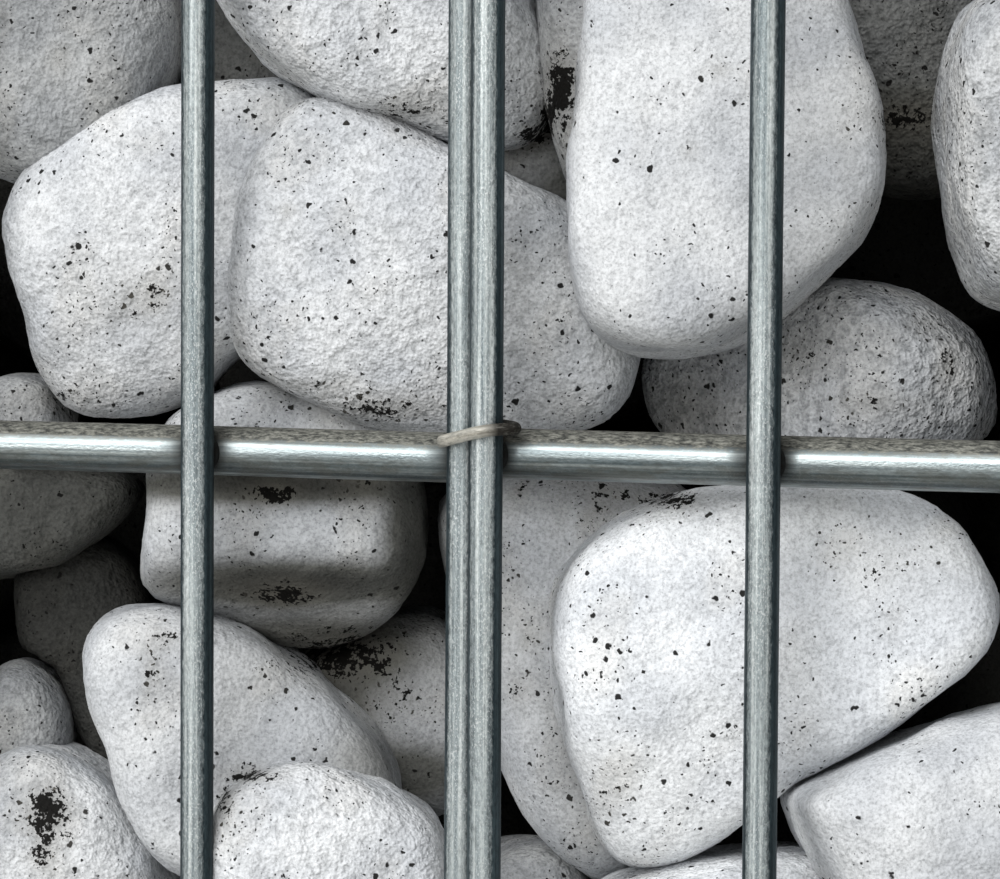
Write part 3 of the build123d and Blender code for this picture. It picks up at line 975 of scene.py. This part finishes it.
def stonePlanes(points, radii, chosen, most=22):
    # For each chosen stone, normals of the planes that bound it and 1 / distance, 0 where there is no plane
    count = len(chosen)
    normals = np.zeros((count, most + 15, 3))
    inverse = np.zeros((count, most + 15))
    a, b = closePairs(points, 2 * packing["large"] + 25 * mm)
    a, b = np.concatenate([a, b]), np.concatenate([b, a])
    index = np.full(len(points), -1)
    index[chosen] = np.arange(count)
    keep = index[a] >= 0
    a, b = a[keep], b[keep]
    gap = points[b] - points[a]
    length = lengthOf(gap)
    distance = (length ** 2 + radii[a] ** 2 - radii[b] ** 2) / (2 * length) - packing["gap"] / 2
    order = np.lexsort((distance, index[a]))
    a, gap, length, distance = a[order], gap[order], length[order], distance[order]
    rank = np.arange(len(a)) - np.searchsorted(index[a], index[a])
    use = rank < most
    normals[index[a[use]], rank[use]] = gap[use] / length[use, None]
    inverse[index[a[use]], rank[use]] = 1 / np.maximum(distance[use], 0.3 * radii[a[use]])

    centre, everyone, slots = points[chosen], np.arange(count), list(range(most, most + 15))

    def bound(rows, normal, distance, least, reach=2.0):
        # One more plane for these stones, if it is within reach, and never nearer than least, both in radii
        slot, r = slots.pop(0), radii[chosen[rows]]
        normals[rows, slot] = normal
        inverse[rows, slot] = np.where(distance < reach * r, 1 / np.maximum(distance, least * r), 0)

    # Uprights and cross wires: flat planes at their inner sides
    bay = bayOf[chosen]
    inner = mesh["rod"] - packing["inner"]
    limits = ((wallLow[0], wallHigh[0]), (fillLow[bay, 1], fillHigh[bay, 1]), (wallLow[2], wallHigh[2]))
    for place, outward, (low, high) in zip(centre.T, np.eye(3), limits):
        bound(everyone, -outward, place - (low - inner), 0.3, math.inf)
        bound(everyone, outward, high + inner - place, 0.3, math.inf)
    # Rods: a plane square to the line from the stone's middle to the nearest point of the five nearest rods
    lines = np.concatenate([panelBars(name)[1] for name in panelNames])
    start, run = lines[:, 0], lines[:, 1] - lines[:, 0]
    share = np.clip(np.einsum("srk,rk->sr", centre[:, None] - start[None], run) / np.sum(run ** 2, 1), 0, 1)
    toRod = start[None] + share[..., None] * run[None] - centre[:, None]
    far = lengthOf(toRod)
    for pick in np.argsort(far, axis=1)[:, :5].T:
        distance = far[everyone, pick]
        normal = toRod[everyone, pick] / distance[:, None]
        bound(everyone, normal, distance - mesh["rod"] / 2 - packing["rodGap"], 0.35)
    # The room of the drawn stones, and a plane square to the line to the nearest point of the three nearest
    normal, distance = roomLimit(centre)
    reached = (centre[:, 1] < 0) & (np.abs(centre[:, 0] - joint["x"]) < packing["viewHalf"])
    bound(everyone, normal, np.where(reached, distance, math.inf), 0.25)
    close = np.nonzero(lengthOf(centre[:, None] - heroCentres[None]).min(1) < packing["heroPlane"])[0]
    if len(close):
        reach = lengthOf(centre[close][:, None] - heroPoints[None])
        for k in range(3):
            nearest, distance = reach.argmin(1), reach.min(1)
            normal = (heroPoints[nearest] - centre[close]) / distance[:, None]
            bound(close, normal, distance * 0.97, 0.2, 2.0 * 0.97)
            reach[heroOwner[None, :] == heroOwner[nearest][:, None]] = 9.0
    return normals, inverse


def looseStones(points, radii, chosen, n, seed):
    # r = (sum of (cosine / distance)^p over the planes and a few own facets)^(-1/p), for all stones at once
    count, own, p = len(chosen), radii[chosen][:, None], packing["roundness"]
    u, quads = cubeSphere(n)
    normals, inverse = stonePlanes(points, radii, chosen)
    rng = np.random.default_rng(seed)
    normals = np.concatenate([normals, unit(rng.normal(size=(count, 7, 3)))], 1)
    inverse = np.concatenate([inverse, 1 / (own * rng.uniform(0.86, 1.3, (count, 7)))], 1)
    total = np.zeros((count, len(u)))
    for k in range(normals.shape[1]):
        total += (np.clip(normals[:, k] @ u.T, 0, None) * inverse[:, k:k + 1]) ** p
    stretch = rng.uniform(0.95, 1.6, (count, 3))
    for axis in range(3):
        lean = unit(rng.normal(size=(count, 3)))
        total += (np.abs(lean @ u.T) / (stretch[:, axis:axis + 1] * own)) ** p
    total += (1 / (1.5 * own)) ** p
    verts = (points[chosen][:, None] + u[None] * (total ** (-1 / p))[..., None]).reshape(-1, 3)
    swell = 0.6 * mm * waves(verts, seed + 1, 26 * mm) + 0.3 * mm * waves(verts, seed + 2, 11 * mm)
    verts = verts + np.tile(u, (count, 1)) * (swell - 0.5 * mm)[:, None]
    tone = rng.uniform(0.3, 1, count)
    # Painted shade: the stones deep inside get the darkest tone
    tone[skin[chosen] > packing["dark"]] = 0.0
    # Two stones in five have no crust, the others more or less of it
    much = np.clip(rng.uniform(-0.7, 1, count), 0, 1) ** 0.6
    tone, much, rugged = (np.repeat(v, len(u)) for v in (tone, much, rng.uniform(0.8, 1.6, count)))
    crust = much * np.clip(waves(verts, seed + 3, 30 * mm) * 2.2 - 1.1, 0, 1) * 0.8
    return verts, repeated(quads, count, len(u)), noTriangles, stoneValues(verts, tone, crust, rugged)


points, radii = packStones()
report(f"packed {len(points)} stones")
skin = np.minimum(points - (wallLow - packing["bulge"]), wallHigh + packing["bulge"] - points).min(1)
fromView = lengthOf(points - focus)
bayOf = np.clip(np.searchsorted(fillHigh[:-1, 0], points[:, 0]), 0, mesh["baskets"] - 1)
for bay in range(mesh["baskets"]):
    # Finer bodies near the view, coarser ones in the depth
    here = bayOf == bay
    near = here & (fromView < packing["fineFrom"]) & (skin < packing["fineSkin"])
    shell = here & ~near & (skin < radii * packing["shell"])
    core = here & ~near & ~shell & (skin > radii * packing["core"])
    groups = dict(near=near, shell=shell, deep=here & ~near & ~shell & ~core, core=core)
    parts = []
    for key, n in packing["cells"].items():
        if groups[key].any():
            parts.append(looseStones(points, radii, np.nonzero(groups[key])[0], n, 40 + bay * 5 + n))
    addStones(f"stones_{bay + 1}", parts, f"stone_fill_{bay + 1}")


# Light, floor and world

studio = dict(
    # Suns: strength, size in degrees and where their light comes from. A soft key from the upper left in
    # front, a low one from the left that the bars reflect, a faint fill, and one for the far side alone
    key=dict(strength=3.2, size=58.0, come=(-0.24, -0.74, 0.63)),
    low=dict(strength=0.45, size=20.0, come=(-0.460, -0.868, 0.185)),
    fill=dict(strength=0.42, size=50.0, come=(0.32, -0.93, 0.2)),
    back=dict(strength=1.3, size=60.0, come=(0.30, 0.80, 0.52)),
    sky="#D3D6D9", skyStrength=0.27, floor="#D8D7D3", floorSize=60.0,
)


def makeLamp(name):
    look = studio[name]
    sun = bpy.data.lights.new(name, "SUN")
    sun.energy = look["strength"]
    sun.angle = math.radians(look["size"])
    z = unit(np.array(look["come"]))
    x = unit(np.cross((0.0, 0.0, 1.0), z))
    placed(name, sun, (x, np.cross(z, x), z))


def makeStudio():
    data = bpy.data.meshes.new("floor")
    s = studio["floorSize"] / 2
    data.from_pydata([(-s, -s, 0), (s, -s, 0), (s, s, 0), (-s, s, 0)], [], [(0, 1, 2, 3)])
    data.materials.append(Shader("pale_floor").finish(Base_Color=studio["floor"], Roughness=0.9))
    placed("floor", data)
    for name in ("key", "low", "fill", "back"):
        makeLamp(name)
    world = bpy.data.worlds.new("studio")
    world.use_nodes = True
    back = world.node_tree.nodes["Background"]
    back.inputs[0].default_value = linear(studio["sky"])
    back.inputs[1].default_value = studio["skyStrength"]
    bpy.context.scene.world = world
    bpy.context.scene.view_settings.view_transform = "Standard"


makeStudio()
report("studio")
